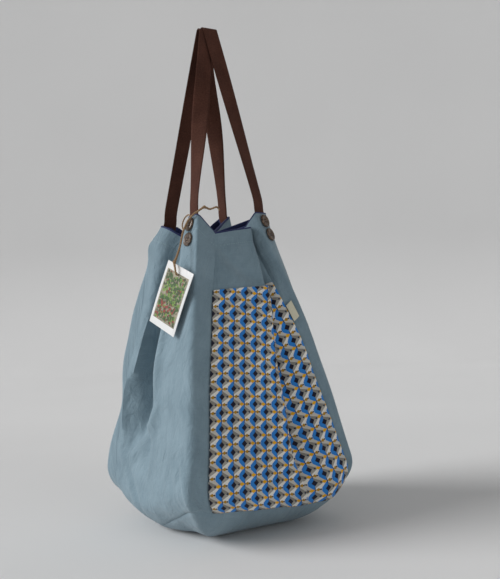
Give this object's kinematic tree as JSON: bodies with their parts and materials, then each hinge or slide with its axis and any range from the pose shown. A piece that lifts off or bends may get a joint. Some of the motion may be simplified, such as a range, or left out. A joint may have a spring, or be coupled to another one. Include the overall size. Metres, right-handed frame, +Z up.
{
  "type": "fabric tote bag",
  "caption": "Gathered trapeze-shaped fabric tote with a printed front pocket, two webbing handles held by paired buttons, and a hanging card tag.",
  "frame": {"origin": "on the ground under the middle of the base, on the flat that the filled bottom rests on", "axes": "+Z up to the handles' tops, -Y out of the face with the pocket, +X to the right of someone who looks at the pocket"},
  "size_m": [0.2803, 0.2838, 0.755],
  "materials": {
    "blue_linen": "matt plain weave",
    "navy_lining": "matt cotton",
    "printed_cotton": "matt cotton, geometric print in blue, black, grey and mustard",
    "label_tape": "matt woven tape",
    "brown_webbing": "herringbone webbing",
    "brown_thread": "sewing thread",
    "button_shell": "turned coconut shell, satin",
    "jute_twine": "loose jute twine",
    "card": "smooth card",
    "card_print": "printed picture of leaves"
  },
  "bodies": {
    "bag": {"front_panel": "blue_linen", "right_panel": "blue_linen", "back_panel": "blue_linen", "left_panel": "blue_linen", "bottom_panel": "blue_linen", "front_lining": "navy_lining", "right_lining": "navy_lining", "back_lining": "navy_lining", "left_lining": "navy_lining", "bottom_lining": "navy_lining", "rim_binding": "navy_lining", "rim_topstitch": "blue_linen", "front_pocket": "printed_cotton", "pocket_hem": "printed_cotton", "loop_label": "label_tape", "strap_end_front_left": "brown_webbing", "strap_end_back_left": "brown_webbing", "strap_end_front_right": "brown_webbing", "strap_end_back_right": "brown_webbing", "strap_tacks": "navy_lining", "button_front_left_upper": "button_shell", "button_front_left_lower": "button_shell", "button_back_left_upper": "button_shell", "button_back_left_lower": "button_shell", "button_front_right_upper": "button_shell", "button_front_right_lower": "button_shell", "button_back_right_upper": "button_shell", "button_back_right_lower": "button_shell", "button_threads": "brown_thread", "twine": "jute_twine", "twine_loop": "jute_twine"},
    "left_handle": {"handle_left": "brown_webbing"},
    "right_handle": {"handle_right": "brown_webbing"},
    "tag": {"tag_card": "card", "tag_picture": "card_print"}
  },
  "joints": [
    {"name": "handle_left_swing", "type": "hinge", "parent": "bag", "child": "left_handle", "pos_m": [-0.05719, -0.0374, 0.479], "axis": [-0.1332, -0.9887, 0.0692], "range_deg": [0, 105]},
    {"name": "handle_right_swing", "type": "hinge", "parent": "bag", "child": "right_handle", "pos_m": [0.04775, -0.05017, 0.483], "axis": [-0.0668, 0.9975, 0.0212], "range_deg": [0, 105]},
    {"name": "tag_swing", "type": "hinge", "parent": "bag", "child": "tag", "pos_m": [-0.10207, -0.06201, 0.37514], "axis": [-0.9721, -0.189, 0.1392], "range_deg": [-20, 20]}
  ]
}
